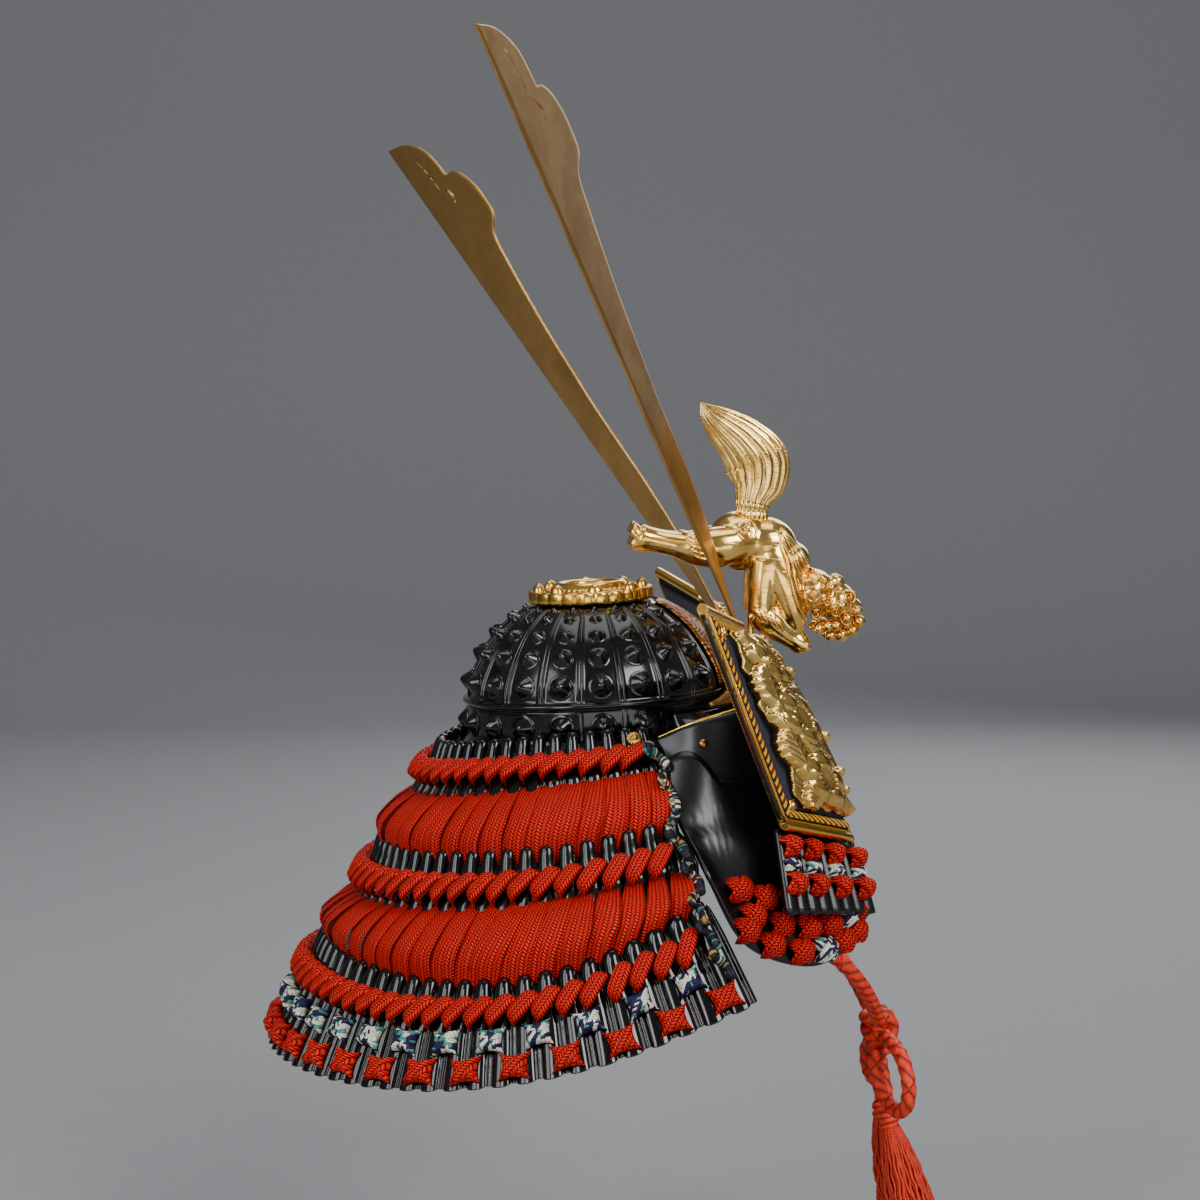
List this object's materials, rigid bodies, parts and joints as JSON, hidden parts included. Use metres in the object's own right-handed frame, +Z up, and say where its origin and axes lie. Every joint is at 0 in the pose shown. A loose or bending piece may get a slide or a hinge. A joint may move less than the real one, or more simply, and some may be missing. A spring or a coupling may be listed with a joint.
{
  "type": "ornamental samurai helmet",
  "caption": "Ornamental samurai helmet: studded black bowl, red-laced neck guard, tall gilt horns, leaping lion crest, gilded wings and a knotted red chin cord with tassels.",
  "frame": {"origin": "under the crown of the bowl, on the bowl's axis, where the helmet rests on a head", "axes": "+Z up, -Y the way the wearer faces, -X the helmet's right side"},
  "size_m": [0.2205, 0.2068, 0.3544],
  "materials": {
    "lacquer": "glossy black lacquer",
    "gilt": "polished gold plating",
    "pale_gilt": "bright polished pale gold plating",
    "brass": "satin brass",
    "copper_gilt": "coppery gilt, chased with scrolls",
    "red_lacing": "braided vermilion lacing",
    "mixed_lacing": "braided lacing in cream, teal and navy",
    "braided_tape": "yellow, red and navy braided tape",
    "navy_cloth": "plain dark navy cloth",
    "red_cord": "satin orange-red twisted cord"
  },
  "bodies": {
    "root": {"bowl": "lacquer", "waist_band": "lacquer", "front_plate": "copper_gilt", "crown_ring": "gilt", "peak": "lacquer", "peak_rim": "gilt", "lame_1": "lacquer", "lame_2": "lacquer", "lame_3": "lacquer", "lacing_row_1": "red_lacing", "lacing_row_2": "red_lacing", "lacing_row_3": "red_lacing", "lacing_strips_1": "red_lacing", "lacing_strips_2": "red_lacing", "knots_multicolour": "mixed_lacing", "knots_red": "red_lacing", "turn_back_upper_right": "lacquer", "turn_back_upper_left": "lacquer", "turn_back_lower_right": "lacquer", "turn_back_lower_left": "lacquer", "wing_rim_right": "gilt", "wing_rim_left": "gilt", "wing_tape_right": "braided_tape", "wing_tape_left": "braided_tape", "wing_cloth_right": "navy_cloth", "wing_cloth_left": "navy_cloth", "wing_relief_right": "gilt", "wing_relief_left": "gilt", "lower_wing_knots_top_right": "red_lacing", "lower_wing_knots_top_left": "red_lacing", "lower_wing_knots_middle_right": "mixed_lacing", "lower_wing_knots_middle_left": "mixed_lacing", "lower_wing_knots_bottom_right": "red_lacing", "lower_wing_knots_bottom_left": "red_lacing", "hollow_lacing_right": "red_lacing", "hollow_lacing_left": "red_lacing", "front_lacing_right": "mixed_lacing", "front_lacing_left": "mixed_lacing", "chrysanthemum_rivet_right": "brass", "chrysanthemum_rivet_left": "brass", "copper_rivet_right": "copper_gilt", "copper_rivet_left": "copper_gilt", "horn_socket": "brass", "horn_right": "brass", "horn_left": "brass", "lion_crest": "pale_gilt", "cord_ring_right": "brass", "cord_ring_left": "brass", "chin_cord_right": "red_cord", "chin_cord_left": "red_cord", "cord_loop_right": "red_cord", "cord_loop_left": "red_cord", "cord_tail_right": "red_cord", "cord_tail_left": "red_cord", "cord_knot": "red_cord", "tassel_right": "red_cord", "tassel_left": "red_cord"}
  },
  "joints": []
}
